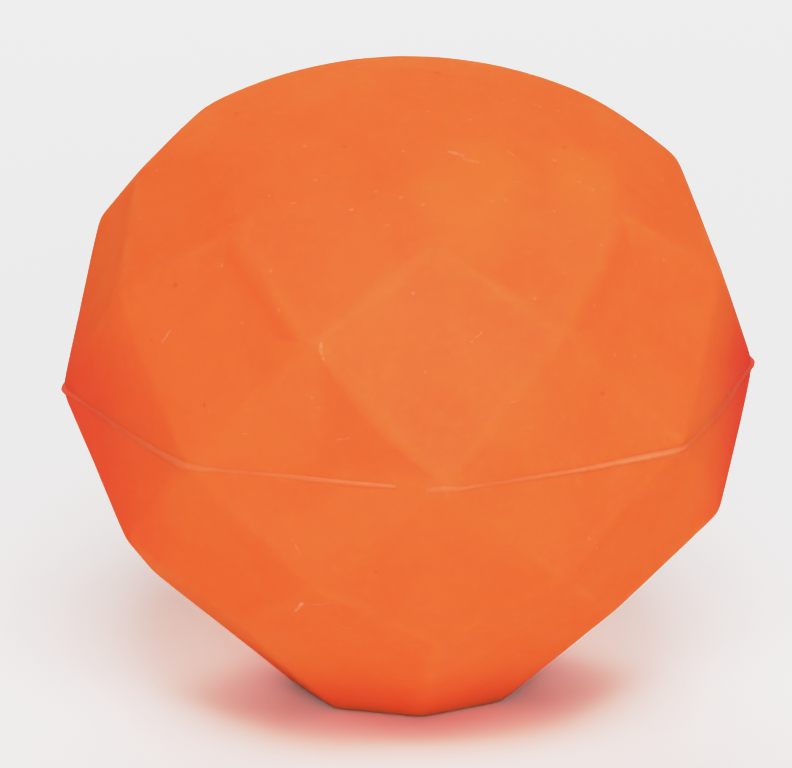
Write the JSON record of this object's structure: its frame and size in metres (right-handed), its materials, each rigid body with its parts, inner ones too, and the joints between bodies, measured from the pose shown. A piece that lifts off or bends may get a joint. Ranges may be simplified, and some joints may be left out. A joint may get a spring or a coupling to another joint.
{
  "type": "practice pad",
  "caption": "Palm-size rubber practice pad shaped like a brilliant-cut gem, with a smooth domed top, flat facets, a raised seam at its widest line and a small flat foot.",
  "frame": {"origin": "middle of the flat foot, at the bottom of the part", "axes": "+Z is the gem's axis of symmetry, from the foot up through the dome; +X passes through one corner of the girdle"},
  "size_m": [0.077, 0.077, 0.0694],
  "materials": {
    "orange_rubber": "satin, slightly translucent",
    "seam_gum": "satin",
    "core_rubber": "matte"
  },
  "bodies": {
    "root": {"crown_shell": "orange_rubber", "pavilion_shell": "orange_rubber", "girdle_seam": "seam_gum", "rebound_core": "core_rubber"}
  },
  "joints": []
}
